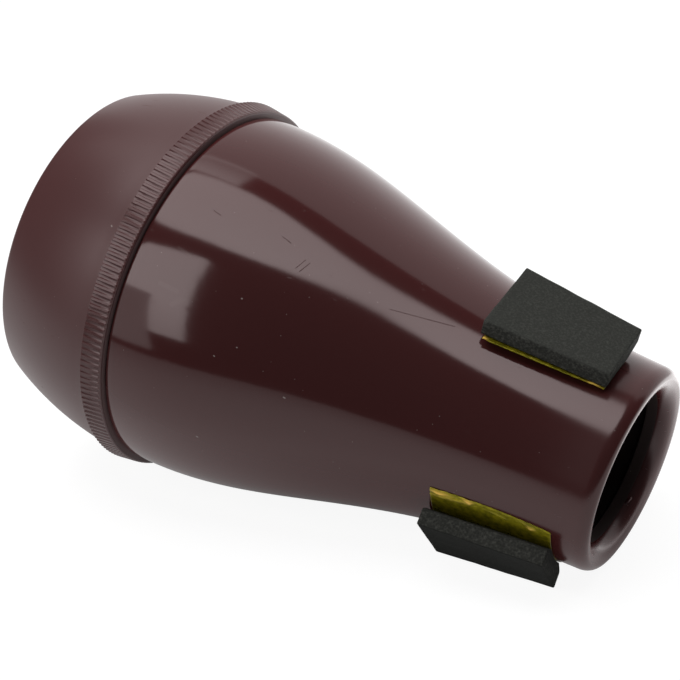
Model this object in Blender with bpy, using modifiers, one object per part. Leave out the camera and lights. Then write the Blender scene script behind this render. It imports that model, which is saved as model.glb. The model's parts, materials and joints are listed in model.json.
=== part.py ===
"""Straight mute for a trumpet: a turned shell with a screw cap, and three foam pads stuck on its neck.

Every piece is drawn about the mute's own axis, which is +Z here: the mouth of the neck is up, and
Z = 0 is the front face of the cap's rim. An empty then lays the whole mute on its side on the floor.
"""

import math
from typing import NamedTuple

import bmesh
import bpy
from mathutils import Matrix, Vector

MM = 0.001
TAU = 2 * math.pi

# Body shell: its outline is one cubic curve from the shoulder to the neck
BODY_RADIUS = 44.8 * MM
BODY_LENGTH = 114.3 * MM
SHOULDER_RISE = 0.7 * MM
SHOULDER_REACH = 35.0 * MM
NECK_RADIUS = 24.8 * MM
NECK_FLARE = 2.0 * MM
NECK_REACH = 55.0 * MM
BODY_WALL = 2.5 * MM
SHOULDER_ROUND = 0.5 * MM

# Mouth: a thick lip, round on both sides, that turns in from the thinner wall
MOUTH_RADIUS = 18.3 * MM
LIP_ROUND_IN = 3.0 * MM
LIP_ROUND_OUT = 3.3 * MM
LIP_LAND = 0.8 * MM
LIP_BACK_SLOPE = 1.2 * MM

# Spigot of the body, which carries the thread, and the room that the two threads share
SPIGOT_STEP = 2.6 * MM
SPIGOT_LENGTH = 7.0 * MM
SPIGOT_WALL = 2.4 * MM
SPIGOT_BLEND = 7.0 * MM
THREAD_ROOM = 1.0 * MM

# Screw cap: its side bulges, and its end is flat
CAP_PROUD = 1.1 * MM
CAP_TAPER = 7.1 * MM
CAP_DEPTH = 35.75 * MM
CAP_BULGE = 1.5 * MM
CAP_CORNER = 1.6 * MM
CAP_WALL = 2.5 * MM

# Ribbed rim of the cap: the ribs stop short of its front face, behind a plain bevel
RIM_PROUD = 1.7 * MM
RIM_DRAFT = 0.85 * MM
RIM_WIDTH = 5.4 * MM
RIM_BEVEL = 0.35 * MM
RIB_COUNT = 184
RIB_DEPTH = 0.5 * MM
RIB_CREST_SHARE = 0.44
RIB_STOP = 0.75 * MM
RIB_RUNOUT = 0.35 * MM

# Seal ring, seated in the front face of the cap
SEAL_THICKNESS = 1.2 * MM
SEAL_WIDTH = 1.5 * MM
SEAL_PROUD = 0.3 * MM
CLEARANCE = 0.3 * MM

# Foam pads and the adhesive film under them
PAD_LENGTH = 29.8 * MM
PAD_WIDTH_BACK = 21.7 * MM
PAD_WIDTH_FRONT = 17.7 * MM
PAD_THICKNESS = 3.9 * MM
PAD_FROM_MOUTH = 7.8 * MM
PAD_EDGE = 0.3 * MM
FILM_THICKNESS = 0.4 * MM
FILM_INSET = 0.6 * MM


class Pad(NamedTuple):
    """How one pad was stuck on by hand. Y runs round the neck, and Z towards the mouth."""

    name: str
    aside: float  # along Y
    ahead: float  # along Z
    twist: float  # degrees round the way out of the neck
    film_side: int  # side of Y that the film shows on
    film_back: float  # how far it shows at the pad's back end
    film_front: float  # and at the front end
    film_on_neck: bool  # stuck down on the neck, or held flat under the pad


# Spaced evenly round the neck, from the pad that touches the floor
PADS = (
    Pad("front", 0.8 * MM, 0.4 * MM, 0.5, -1, 3.4 * MM, 2.4 * MM, True),
    Pad("rear", 0.0, 0.0, 0.0, 1, 1.6 * MM, 1.6 * MM, True),
    Pad("top", -2.7 * MM, -0.6 * MM, 2.2, 1, 0.9 * MM, 0.3 * MM, False),
)

# Facets round the axis, along one curve, along one rounded edge, and across and along a film
TURN_STEPS = 60
CURVE_STEPS = 10
ROUND_STEPS = 3
FILM_STEPS = (6, 3)

SHOULDER_Z = SEAL_PROUD + CLEARANCE
MOUTH_Z = SHOULDER_Z + BODY_LENGTH
SPIGOT_RADIUS = BODY_RADIUS - SPIGOT_STEP
CAP_RADIUS = BODY_RADIUS + CAP_PROUD
CAP_END_RADIUS = CAP_RADIUS - CAP_TAPER
RIM_RADIUS = BODY_RADIUS + RIM_PROUD
SOCKET_RADIUS = SPIGOT_RADIUS + THREAD_ROOM
SOCKET_Z = -SPIGOT_LENGTH - THREAD_ROOM
SEAL_INNER = SPIGOT_RADIUS + CLEARANCE
SEAL_OUTER = SEAL_INNER + SEAL_WIDTH
SEAL_Z = SEAL_PROUD - SEAL_THICKNESS
SEAT_RADIUS = SEAL_OUTER + CLEARANCE
RIM_FACE_RADIUS = RIM_RADIUS - RIB_DEPTH - RIM_BEVEL


# Outlines, as points of radius and height


def arc(centre, radius, start, end, steps=ROUND_STEPS):
    """Points on an arc, ends included. Angle 0 points away from the axis, and a quarter turn up."""
    points = []
    for i in range(steps + 1):
        angle = start + (end - start) * i / steps
        points.append((centre[0] + radius * math.cos(angle), centre[1] + radius * math.sin(angle)))
    return points


def body_curve(share):
    """A point of the body's outer surface, from the neck (0) to the shoulder (1), and its slope."""
    neck = Vector((NECK_RADIUS, MOUTH_Z - LIP_ROUND_OUT))
    neck_pull = neck + Vector((NECK_FLARE, -NECK_REACH))
    shoulder = Vector((BODY_RADIUS, SHOULDER_Z))
    shoulder_pull = shoulder + Vector((SHOULDER_RISE, SHOULDER_REACH))
    left = 1 - share
    point = left**3 * neck + 3 * left**2 * share * neck_pull
    point += 3 * left * share**2 * shoulder_pull + share**3 * shoulder
    slope = left**2 * (neck_pull - neck) + 2 * left * share * (shoulder_pull - neck_pull)
    slope += share**2 * (shoulder - shoulder_pull)
    return point, slope.normalized()


def body_radius_at(height):
    """Radius of the body's outer surface at a height, found by halving."""
    low, high = 0.0, 1.0
    for _ in range(40):
        middle = (low + high) / 2
        if body_curve(middle)[0].y > height:
            low = middle
        else:
            high = middle
    return body_curve(low)[0].x


def body_inner_wall(top):
    """The shell's inside, from the spigot up to a height under the lip, one wall in from the outside."""
    points = []
    for i in range(CURVE_STEPS, -1, -1):
        point, slope = body_curve(i / CURVE_STEPS)
        wall = point + BODY_WALL * Vector((slope.y, -slope.x))
        if SHOULDER_Z + SPIGOT_BLEND < wall.y < top:
            points.append(tuple(wall))
    return points


def body_outline():
    """The shell's closed outline: down the outside from the lip, round the spigot and up the inside."""
    quarter = TAU / 4
    spigot_inner = SPIGOT_RADIUS - SPIGOT_WALL
    lip_back = MOUTH_Z - LIP_ROUND_IN - LIP_LAND
    inner = body_inner_wall(lip_back - 2 * LIP_BACK_SLOPE)
    points = arc((NECK_RADIUS - LIP_ROUND_OUT, MOUTH_Z - LIP_ROUND_OUT), LIP_ROUND_OUT, quarter, 0)
    points += [tuple(body_curve(i / CURVE_STEPS)[0]) for i in range(1, CURVE_STEPS)]
    points += arc(
        (BODY_RADIUS - SHOULDER_ROUND, SHOULDER_Z + SHOULDER_ROUND), SHOULDER_ROUND, 0, -quarter
    )
    points += [(SPIGOT_RADIUS, SHOULDER_Z), (SPIGOT_RADIUS, -SPIGOT_LENGTH)]
    points += [(spigot_inner, -SPIGOT_LENGTH), (spigot_inner, SHOULDER_Z)]
    points += inner
    points += [(inner[-1][0], lip_back - LIP_BACK_SLOPE), (MOUTH_RADIUS, lip_back)]
    points += arc((MOUTH_RADIUS + LIP_ROUND_IN, MOUTH_Z - LIP_ROUND_IN), LIP_ROUND_IN, 2 * quarter, quarter)
    return points


def cap_side(offset):
    """The arc of the cap's side, moved in by an offset: its centre and radius, and its top's angle."""
    top = Vector((CAP_RADIUS, -RIM_WIDTH))
    bottom = Vector((CAP_END_RADIUS, -CAP_DEPTH))
    chord = bottom - top
    radius = ((chord.length / 2) ** 2 + CAP_BULGE**2) / (2 * CAP_BULGE)
    inward = Vector((chord.y, -chord.x)).normalized()
    centre = (top + bottom) / 2 + inward * (radius - CAP_BULGE)
    return centre, radius - offset, math.atan2(top.y - centre.y, top.x - centre.x)


def cap_corner(offset, floor):
    """Centre of the round between the cap's side and a floor, and the angle where it meets the side."""
    centre, radius, _ = cap_side(offset)
    height = floor + CAP_CORNER
    angle = math.asin((height - centre.y) / (radius - CAP_CORNER))
    return (centre.x + (radius - CAP_CORNER) * math.cos(angle), height), angle


def cap_outline():
    """From the axis inside the cap, up its inner wall, over the front face and down the outside."""
    floor = CAP_WALL - CAP_DEPTH
    centre, radius, _ = cap_side(CAP_WALL)
    corner, angle = cap_corner(CAP_WALL, floor)
    socket_angle = math.asin((SOCKET_Z - THREAD_ROOM - centre.y) / radius)
    points = [(0, floor)] + arc(corner, CAP_CORNER, -TAU / 4, angle)
    points += arc(centre, radius, angle, socket_angle, CURVE_STEPS // 2)[1:]
    points += [(SOCKET_RADIUS, SOCKET_Z), (SOCKET_RADIUS, SEAL_Z - CLEARANCE)]
    points += [(SEAT_RADIUS, SEAL_Z - CLEARANCE), (SEAT_RADIUS, 0)]
    points += [(RIM_FACE_RADIUS, 0), (RIM_FACE_RADIUS, -RIM_WIDTH / 2)]
    centre, radius, top_angle = cap_side(0)
    corner, angle = cap_corner(0, -CAP_DEPTH)
    points += arc(centre, radius, top_angle, angle, CURVE_STEPS // 2)
    points += arc(corner, CAP_CORNER, angle, -TAU / 4)[1:]
    points.append((0, -CAP_DEPTH))
    return points


def seal_outline():
    return [
        (SEAL_OUTER, SEAL_PROUD),
        (SEAL_OUTER, SEAL_Z),
        (SEAL_INNER, SEAL_Z),
        (SEAL_INNER, SEAL_PROUD),
    ]


# Blender helpers


def clear_scene():
    for obj in list(bpy.data.objects):
        bpy.data.objects.remove(obj, do_unlink=True)


def new_collection(name):
    collection = bpy.data.collections.new(name)
    bpy.context.scene.collection.children.link(collection)
    return collection


def plain_material(name, color, roughness):
    material = bpy.data.materials.new(name)
    material.use_nodes = True
    shader = material.node_tree.nodes["Principled BSDF"]
    shader.inputs["Base Color"].default_value = (*color, 1.0)
    shader.inputs["Roughness"].default_value = roughness
    shader.inputs["Metallic"].default_value = 0.0
    material.diffuse_color = (*color, 1.0)
    return material


def add_object(name, mesh, collection, parent, material=None):
    obj = bpy.data.objects.new(name, mesh)
    collection.objects.link(obj)
    obj.parent = parent
    if material is not None:
        mesh.materials.clear()
        mesh.materials.append(material)
    return obj


def add_turned(name, outline, collection, parent, material, closed=True):
    """A turned piece: its outline in the XZ plane, and a Screw modifier round Z."""
    mesh = bpy.data.meshes.new(name)
    edges = [(i, i + 1) for i in range(len(outline) - 1)]
    if closed:
        edges.append((len(outline) - 1, 0))
    mesh.from_pydata([(radius, 0, height) for radius, height in outline], edges, [])
    obj = add_object(name, mesh, collection, parent, material)
    screw = obj.modifiers.new("turn", "SCREW")
    screw.axis = "Z"
    screw.angle = TAU
    screw.steps = TURN_STEPS
    screw.render_steps = TURN_STEPS
    screw.use_merge_vertices = True
    screw.merge_threshold = 0.02 * MM
    screw.use_smooth_shade = True
    return obj


# Ribbed rim: a sleeve with ribs outside, which a union sinks into the cap's plain wall


def rib_columns():
    """Angle of each column round the rim, and whether it lies on a crest. A rib has three columns."""
    columns = []
    for rib in range(RIB_COUNT):
        columns.append((rib * TAU / RIB_COUNT, True))
        columns.append(((rib + RIB_CREST_SHARE) * TAU / RIB_COUNT, True))
        columns.append(((rib + (1 + RIB_CREST_SHARE) / 2) * TAU / RIB_COUNT, False))
    return columns


def rim_rows():
    """The sleeve's rows, from its back: radius on a crest, radius in a root, and height."""

    def crest(height):
        return RIM_RADIUS - RIM_DRAFT * height / RIM_WIDTH

    buried = (SEAT_RADIUS + RIM_FACE_RADIUS) / 2
    run_end = -RIB_STOP - RIB_RUNOUT
    face = RIM_FACE_RADIUS + RIM_BEVEL / 2
    return (
        (buried, buried, -RIM_WIDTH - RIM_BEVEL),
        (crest(-RIM_WIDTH), crest(-RIM_WIDTH) - RIB_DEPTH, -RIM_WIDTH),
        (crest(run_end), crest(run_end) - RIB_DEPTH, run_end),
        (crest(-RIB_STOP), crest(-RIB_STOP), -RIB_STOP),
        (face, face, -RIM_BEVEL / 2),
        (buried, buried, -RIM_BEVEL),
    )


def shape_row(verts, columns, row):
    """Moves one ring of vertices onto the crests and roots of a row."""
    crest_radius, root_radius, height = row
    ordered = sorted(verts, key=lambda vert: math.atan2(vert.co.y, vert.co.x) % TAU)
    for vert, (angle, on_crest) in zip(ordered, columns):
        radius = crest_radius if on_crest else root_radius
        vert.co = (radius * math.cos(angle), radius * math.sin(angle), height)


def add_rim_sleeve(collection, parent):
    columns = rib_columns()
    rows = rim_rows()
    bm = bmesh.new()
    half_column = Matrix.Rotation(TAU / len(columns) / 2, 4, "Z")
    bmesh.ops.create_circle(bm, segments=len(columns), radius=RIM_RADIUS, matrix=half_column)
    shape_row(list(bm.verts), columns, rows[0])
    first_edges = list(bm.edges)
    edges = first_edges
    for row in rows[1:]:
        made = bmesh.ops.extrude_edge_only(bm, edges=edges)["geom"]
        edges = [item for item in made if isinstance(item, bmesh.types.BMEdge)]
        shape_row([item for item in made if isinstance(item, bmesh.types.BMVert)], columns, row)
    bmesh.ops.bridge_loops(bm, edges=first_edges + edges)
    bmesh.ops.recalc_face_normals(bm, faces=bm.faces)
    mesh = bpy.data.meshes.new("rim_sleeve")
    bm.to_mesh(mesh)
    bm.free()
    sleeve = add_object("rim_sleeve", mesh, collection, parent)
    sleeve.hide_render = True
    sleeve.display_type = "WIRE"
    return sleeve


def add_end_cap(collection, cutters, parent, material):
    cap = add_turned("end_cap", cap_outline(), collection, parent, material, closed=False)
    union = cap.modifiers.new("ribbed rim", "BOOLEAN")
    union.operation = "UNION"
    union.solver = "EXACT"
    union.object = add_rim_sleeve(cutters, parent)


# Foam pads and their film, drawn with X out from the neck, Y round it and Z towards the mouth


def pad_seat():
    """Radius and height of the middle of a pad's inner face, and the face's lean to the axis."""
    front_z = MOUTH_Z - PAD_FROM_MOUTH
    back_z = front_z - PAD_LENGTH
    front_radius = body_radius_at(front_z)
    back_radius = body_radius_at(back_z)
    lean = math.atan2(back_radius - front_radius, PAD_LENGTH)
    radius = (front_radius + back_radius) / 2 + FILM_THICKNESS + 2 * CLEARANCE
    return radius, (front_z + back_z) / 2, lean


def pad_matrix(index):
    """The seat of a pad, before the hand that stuck it on moved it a little."""
    radius, height, lean = pad_seat()
    out = Matrix.Translation((radius, 0, height))
    return Matrix.Rotation(index * TAU / len(PADS), 4, "Z") @ out @ Matrix.Rotation(-lean, 4, "Y")


def hand_error(pad):
    moved = Matrix.Translation((0, pad.aside, pad.ahead))
    return moved @ Matrix.Rotation(math.radians(pad.twist), 4, "X")


def along_pad(height, back, front):
    """A size that changes evenly from the pad's back end to its front, at a height from its middle."""
    return back + (front - back) * (height / PAD_LENGTH + 0.5)


def pad_half_width(height):
    return along_pad(height, PAD_WIDTH_BACK, PAD_WIDTH_FRONT) / 2


def pad_mesh():
    bm = bmesh.new()
    bmesh.ops.create_cube(bm, size=1)
    for vert in bm.verts:
        height = vert.co.z * PAD_LENGTH
        out = (vert.co.x + 0.5) * PAD_THICKNESS
        vert.co = (out, 2 * vert.co.y * pad_half_width(height), height)
    edges = list(bm.edges)
    bmesh.ops.bevel(
        bm, geom=edges, offset=PAD_EDGE, segments=1, profile=0.5, affect="EDGES", material=-1
    )
    mesh = bpy.data.meshes.new("foam_pad")
    bm.to_mesh(mesh)
    bm.free()
    return mesh


def drop_to_neck(place):
    """A point of the pad's own frame, moved straight in until it lies just off the neck."""
    to_neck = pad_matrix(0)
    lift = CLEARANCE + FILM_THICKNESS / 2
    for _ in range(4):
        point = to_neck @ place
        place.x += body_radius_at(point.z) + lift - math.hypot(point.x, point.y)
    return place


def film_mesh(pad):
    """The film under a pad, stuck down on the neck or held flat, and showing past one long side."""
    bm = bmesh.new()
    bmesh.ops.create_grid(bm, x_segments=FILM_STEPS[0], y_segments=FILM_STEPS[1], size=0.5)
    for vert in bm.verts:
        height = 2 * vert.co.y * (PAD_LENGTH / 2 - FILM_INSET)
        half = pad_half_width(height)
        shown_edge = half + along_pad(height, pad.film_back, pad.film_front)
        across = FILM_INSET - half + (shown_edge + half - FILM_INSET) * (vert.co.x + 0.5)
        under = -CLEARANCE - FILM_THICKNESS / 2
        place = hand_error(pad) @ Vector((under, pad.film_side * across, height))
        vert.co = drop_to_neck(place) if pad.film_on_neck else place
    bmesh.ops.recalc_face_normals(bm, faces=bm.faces)
    mesh = bpy.data.meshes.new("adhesive_film")
    bm.to_mesh(mesh)
    bm.free()
    return mesh


def add_pads(collection, parent, foam, film):
    mesh = pad_mesh()
    for index, pad in enumerate(PADS):
        block = add_object(f"foam_pad_{pad.name}", mesh, collection, parent, foam)
        block.matrix_basis = pad_matrix(index) @ hand_error(pad)
        sheet = add_object(f"adhesive_film_{pad.name}", film_mesh(pad), collection, parent, film)
        sheet.matrix_basis = pad_matrix(index)
        thicken = sheet.modifiers.new("thickness", "SOLIDIFY")
        thicken.thickness = FILM_THICKNESS
        thicken.offset = 0


# Lying on the floor: the rim and the lip touch it, and the mute has rolled until a pad does


def rest_tilt():
    """How far the axis dips to the mouth, and how deep the floor lies under the rim's centre."""
    tilt = 0.0
    depth = 0.0
    for height in (-RIB_STOP, -RIM_WIDTH):
        radius = RIM_RADIUS - RIM_DRAFT * height / RIM_WIDTH
        across = radius - NECK_RADIUS + LIP_ROUND_OUT
        along = MOUTH_Z - LIP_ROUND_OUT - height
        lean = math.acos(LIP_ROUND_OUT / math.hypot(across, along)) - math.atan2(along, across)
        if lean > tilt:
            tilt = lean
            depth = radius * math.cos(lean) + height * math.sin(lean)
    return tilt, depth


def rest_roll(tilt, depth):
    """Angle round the axis from straight down to the middle of the pad that touches the floor."""
    roll = 0.0
    for height in (-PAD_LENGTH / 2, PAD_LENGTH / 2):
        corner = Vector((PAD_THICKNESS, pad_half_width(height), height))
        corner = pad_matrix(0) @ hand_error(PADS[0]) @ corner
        across = math.hypot(corner.x, corner.y)
        reach = (depth - corner.z * math.sin(tilt)) / math.cos(tilt)
        if reach < across:
            roll = max(roll, math.atan2(corner.y, corner.x) + math.acos(reach / across))
    return roll


def lay_down(axis, parts):
    """Turns the axis frame to its rest and puts the middle of the box's underside at the origin."""
    tilt, depth = rest_tilt()
    roll = rest_roll(tilt, depth)
    axis.matrix_basis = Matrix.Rotation(TAU / 4 + tilt, 4, "Y") @ Matrix.Rotation(-roll, 4, "Z")
    graph = bpy.context.evaluated_depsgraph_get()
    points = []
    for obj in parts.objects:
        if obj.type == "MESH":
            solid = obj.evaluated_get(graph)
            points += [solid.matrix_world @ vert.co for vert in solid.data.vertices]
    low = [min(point[i] for point in points) for i in range(3)]
    high = [max(point[i] for point in points) for i in range(3)]
    axis.location = (-(low[0] + high[0]) / 2, -(low[1] + high[1]) / 2, -low[2])
    bpy.context.view_layer.update()


def main():
    clear_scene()
    parts = new_collection("trumpet_mute")
    cutters = new_collection("cutters")
    axis = bpy.data.objects.new("mute_axis", None)
    parts.objects.link(axis)
    gloss = plain_material("glossy_maroon_plastic", (0.052, 0.014, 0.014), 0.12)
    satin = plain_material("satin_maroon_plastic", (0.060, 0.019, 0.019), 0.34)
    rubber = plain_material("black_rubber", (0.012, 0.011, 0.011), 0.6)
    foam = plain_material("black_foam", (0.020, 0.021, 0.020), 0.9)
    film = plain_material("yellow_film", (0.35, 0.28, 0.02), 0.2)
    add_turned("body_shell", body_outline(), parts, axis, gloss)
    add_end_cap(parts, cutters, axis, satin)
    add_turned("seal_ring", seal_outline(), parts, axis, rubber)
    add_pads(parts, axis, foam, film)
    lay_down(axis, parts)


main()
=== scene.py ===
# %% [markdown]
# # A trumpet mute, dressed for the camera
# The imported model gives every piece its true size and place. This script keeps those places and makes
# the looks: fine turned shapes, two moulded plastics, black foam and the yellow film that holds it.
# Each step first says what the real piece is, and why it is made the way it is.

import json
import math

import bmesh
import bpy
from mathutils import Matrix, Vector, noise


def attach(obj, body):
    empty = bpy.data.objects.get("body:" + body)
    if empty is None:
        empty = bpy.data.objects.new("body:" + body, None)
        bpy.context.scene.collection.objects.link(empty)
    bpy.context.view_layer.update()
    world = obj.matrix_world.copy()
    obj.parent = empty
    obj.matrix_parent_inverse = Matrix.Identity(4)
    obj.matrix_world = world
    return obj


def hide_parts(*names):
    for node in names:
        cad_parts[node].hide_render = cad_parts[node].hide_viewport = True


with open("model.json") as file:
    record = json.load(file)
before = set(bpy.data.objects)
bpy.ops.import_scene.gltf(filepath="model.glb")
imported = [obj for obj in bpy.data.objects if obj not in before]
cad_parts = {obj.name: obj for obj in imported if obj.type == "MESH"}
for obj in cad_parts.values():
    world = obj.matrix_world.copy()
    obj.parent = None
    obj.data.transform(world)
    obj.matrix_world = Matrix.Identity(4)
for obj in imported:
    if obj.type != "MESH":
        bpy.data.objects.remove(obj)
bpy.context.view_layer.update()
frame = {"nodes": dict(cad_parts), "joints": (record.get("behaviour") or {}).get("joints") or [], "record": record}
MM = 0.001
TAU = 2 * math.pi
scene = bpy.context.scene
print("frame nodes:", sorted(frame["nodes"]))

# %% [markdown]
# The mute is a turned object, so it is easiest to draw in its own axis frame. There Z runs from the
# cap to the mouth, and Z = 0 is the front face of the cap's rim. The cap's hinge lies on that axis, so
# the joint gives both the line and the point, and nothing has to be measured twice.

# %% The axis frame, read from the cap's joint
cap_turn = next(joint for joint in frame["joints"] if joint["name"] == "cap_turn")
TO_MOUTH = -Vector(cap_turn["axis"]).normalized()
ACROSS = Vector((0, 1, 0))
DOWN = ACROSS.cross(TO_MOUTH)
AXIS = Matrix((DOWN, ACROSS, TO_MOUTH)).transposed().to_4x4()
AXIS.translation = Vector(cap_turn["pos_m"])
print("the axis dips by", round(math.degrees(math.asin(-TO_MOUTH.z)), 2), "degrees")

# %% [markdown]
# The camera stands in front of the mouth, above it and to one side, with a long lens. Its place comes
# from the outline of the mute in the photograph.

# %% Camera
CAMERA_PLACE = (0.22126, -0.33139, 0.26203)
CAMERA_TURN = (60.92, 3.89, 31.737)
LENS = 100.6

camera_data = bpy.data.cameras.new("camera")
camera_data.lens = LENS
camera_data.sensor_width = 36
camera_data.clip_start = 0.01
camera = bpy.data.objects.new("camera", camera_data)
camera.location = CAMERA_PLACE
camera.rotation_euler = [math.radians(angle) for angle in CAMERA_TURN]
scene.collection.objects.link(camera)
scene.camera = camera
scene.view_settings.view_transform = "Standard"
print("camera", round(Vector(CAMERA_PLACE).length, 3), "m away")


# %% [markdown]
# Every material here is a small graph of shader nodes. Three helpers keep the graphs readable: one
# starts a material, one adds a node with its settings, and one draws a wire.

# %% Helpers for shader nodes
def new_material(name):
    material = bpy.data.materials.new(name)
    material.use_nodes = True
    return material, material.node_tree, material.node_tree.nodes["Principled BSDF"]


def add_node(tree, kind, **settings):
    node = tree.nodes.new(kind)
    for key, value in settings.items():
        if key in node.inputs:
            node.inputs[key].default_value = value
        else:
            setattr(node, key, value)
    return node


def wire(tree, source, target):
    tree.links.new(source, target)


# %% [markdown]
# A product like this is shot on a paper sweep: one sheet that lies flat in front and curves up behind.
# A glossy shell mirrors the whole studio, so the sheet, its front edge and the lamps all have to be
# where they were. The sheet is an edge that is extruded, spun through the curve and extruded again.
# The camera sees it white, it glows a little in reflections, and it still takes a soft shadow.
# The glow that reflections and bounce see is painted light: dimmer in front and up the wall, with a
# painted shadow under the mute and a painted pool of light behind the mouth.

# %% The paper sweep
SWEEP_WIDTH = 2.4
SWEEP_FRONT = -0.32
SWEEP_BEND = 0.62
SWEEP_RADIUS = 0.30
SWEEP_TOP = 2.1
PAPER = (0.12, 0.12, 0.12, 1)
GLOW_SEEN = 0.915
GLOW_FRONT = (0.42, 0.80)
GLOW_BACK = 1.02
GLOW_CONTACT_SHADOW = (0.01, 0.07)
GLOW_POOL = (0.13, 0.11, 0)
GLOW_POOL_REACH = (0.045, 0.115)
GLOW_POOL_RISE = 1.6
GLOW_WALL = 0.85
GLOW_CAST = 0.75


def ramp(tree, value, reach, ends):
    """A soft step: the first end up to where the reach begins, the second from where it ends."""
    node = add_node(tree, "ShaderNodeMapRange", interpolation_type="SMOOTHSTEP")
    node.inputs["From Min"].default_value, node.inputs["From Max"].default_value = reach
    node.inputs["To Min"].default_value, node.inputs["To Max"].default_value = ends
    wire(tree, value, node.inputs["Value"])
    return node.outputs[0]


def join(tree, operation, first, second):
    """Two values joined by a math node; each one is a socket or a number."""
    node = add_node(tree, "ShaderNodeMath", operation=operation)
    for socket, value in zip(node.inputs, (first, second)):
        if isinstance(value, (int, float)):
            socket.default_value = value
        else:
            wire(tree, value, socket)
    return node.outputs[0]


def paper_material():
    material, tree, shader = new_material("white_paper")
    shader.inputs["Base Color"].default_value = PAPER
    shader.inputs["Roughness"].default_value = 0.9
    shader.inputs["Emission Color"].default_value = (1, 1, 1, 1)
    place = add_node(tree, "ShaderNodeTexCoord")
    split = add_node(tree, "ShaderNodeSeparateXYZ")
    wire(tree, place.outputs["Object"], split.inputs[0])
    squeezed = add_node(tree, "ShaderNodeVectorMath", operation="MULTIPLY")
    squeezed.inputs[1].default_value = (0.5, 1, 0)
    wire(tree, place.outputs["Object"], squeezed.inputs[0])
    reach = add_node(tree, "ShaderNodeVectorMath", operation="LENGTH")
    wire(tree, squeezed.outputs[0], reach.inputs[0])
    pool = add_node(tree, "ShaderNodeVectorMath", operation="DISTANCE")
    pool.inputs[1].default_value = GLOW_POOL
    wire(tree, place.outputs["Object"], pool.inputs[0])
    # Painted light: the glow is dimmer at the front of the table and brighter behind.
    front = ramp(tree, split.outputs["Y"], (-0.30, -0.08), GLOW_FRONT)
    back = ramp(tree, split.outputs["Y"], (-0.06, 0.08), (0.0, GLOW_BACK - GLOW_FRONT[1]))
    table = join(tree, "ADD", front, back)
    # Painted shadow: round the mute the glow is dimmed, where its shadow falls on the table.
    table = join(tree, "MULTIPLY", table, ramp(tree, reach.outputs["Value"], GLOW_CONTACT_SHADOW, (0.15, 1.0)))
    # Painted pool of light: the glow rises behind the mouth.
    table = join(tree, "ADD", table, ramp(tree, pool.outputs["Value"], GLOW_POOL_REACH, (GLOW_POOL_RISE, 0.0)))
    # Painted light: the glow is dimmer up the wall.
    wall = ramp(tree, split.outputs["Z"], (0.05, 0.6), (1.0, GLOW_WALL / GLOW_BACK))
    path = add_node(tree, "ShaderNodeLightPath")
    cast = ramp(tree, path.outputs["Is Diffuse Ray"], (0, 1), (1.0, GLOW_CAST))
    mirrored = join(tree, "MULTIPLY", join(tree, "MULTIPLY", table, wall), cast)
    glow = add_node(tree, "ShaderNodeMapRange")
    glow.inputs["To Max"].default_value = GLOW_SEEN
    wire(tree, path.outputs["Is Camera Ray"], glow.inputs["Value"])
    wire(tree, mirrored, glow.inputs["To Min"])
    wire(tree, glow.outputs[0], shader.inputs["Emission Strength"])
    return material


def paper_sweep():
    bm = bmesh.new()
    front = bm.verts.new((-SWEEP_WIDTH / 2, SWEEP_FRONT, 0))
    made = bmesh.ops.extrude_vert_indiv(bm, verts=[front])
    made["verts"][0].co.y = SWEEP_BEND
    curve = bmesh.ops.spin(
        bm,
        geom=made["verts"],
        cent=(0, SWEEP_BEND, SWEEP_RADIUS),
        axis=(1, 0, 0),
        angle=TAU / 4,
        steps=16,
    )
    last = [item for item in curve["geom_last"] if isinstance(item, bmesh.types.BMVert)]
    made = bmesh.ops.extrude_vert_indiv(bm, verts=last)
    made["verts"][0].co.z = SWEEP_TOP
    sheet = bmesh.ops.extrude_edge_only(bm, edges=list(bm.edges))
    moved = [item for item in sheet["geom"] if isinstance(item, bmesh.types.BMVert)]
    bmesh.ops.translate(bm, vec=(SWEEP_WIDTH, 0, 0), verts=moved)
    bmesh.ops.recalc_face_normals(bm, faces=bm.faces)
    mesh = bpy.data.meshes.new("paper_sweep")
    bm.to_mesh(mesh)
    bm.free()
    mesh.shade_smooth()
    mesh.materials.append(paper_material())
    sweep = bpy.data.objects.new("paper_sweep", mesh)
    scene.collection.objects.link(sweep)
    return sweep


sweep = paper_sweep()
print("sweep faces:", len(sweep.data.polygons))

# %% [markdown]
# Behind the camera the studio is dark, which is what keeps the front of the shell deep maroon. Past
# the paper the camera still sees white.

# %% The dark room
ROOM_LIGHT = 0.06

world = bpy.data.worlds.new("dark_room")
scene.world = world
world.use_nodes = True
tree = world.node_tree
sky = tree.nodes["Background"]
sky.inputs["Color"].default_value = (1, 1, 1, 1)
path = add_node(tree, "ShaderNodeLightPath")
strength = add_node(tree, "ShaderNodeMapRange")
strength.inputs["To Min"].default_value = ROOM_LIGHT
strength.inputs["To Max"].default_value = 1.0
wire(tree, path.outputs["Is Camera Ray"], strength.inputs["Value"])
wire(tree, strength.outputs[0], sky.inputs["Strength"])
print("room light:", ROOM_LIGHT)

# %% [markdown]
# Two softboxes light it: a large one overhead and a smaller one at the side, which gives the window-like
# shine on the shell. A lamp's power follows from how bright its cloth should look and from its area,
# so all the lamps can be set as plain brightnesses, where 1 is paper white.

# %% The softboxes
SIDE_AZIMUTH = math.radians(252)
SIDE_HEIGHT = math.radians(30)
SIDE_AWAY = 0.7
OBJECT_MIDDLE = Vector((0, 0, 0.045))


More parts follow.
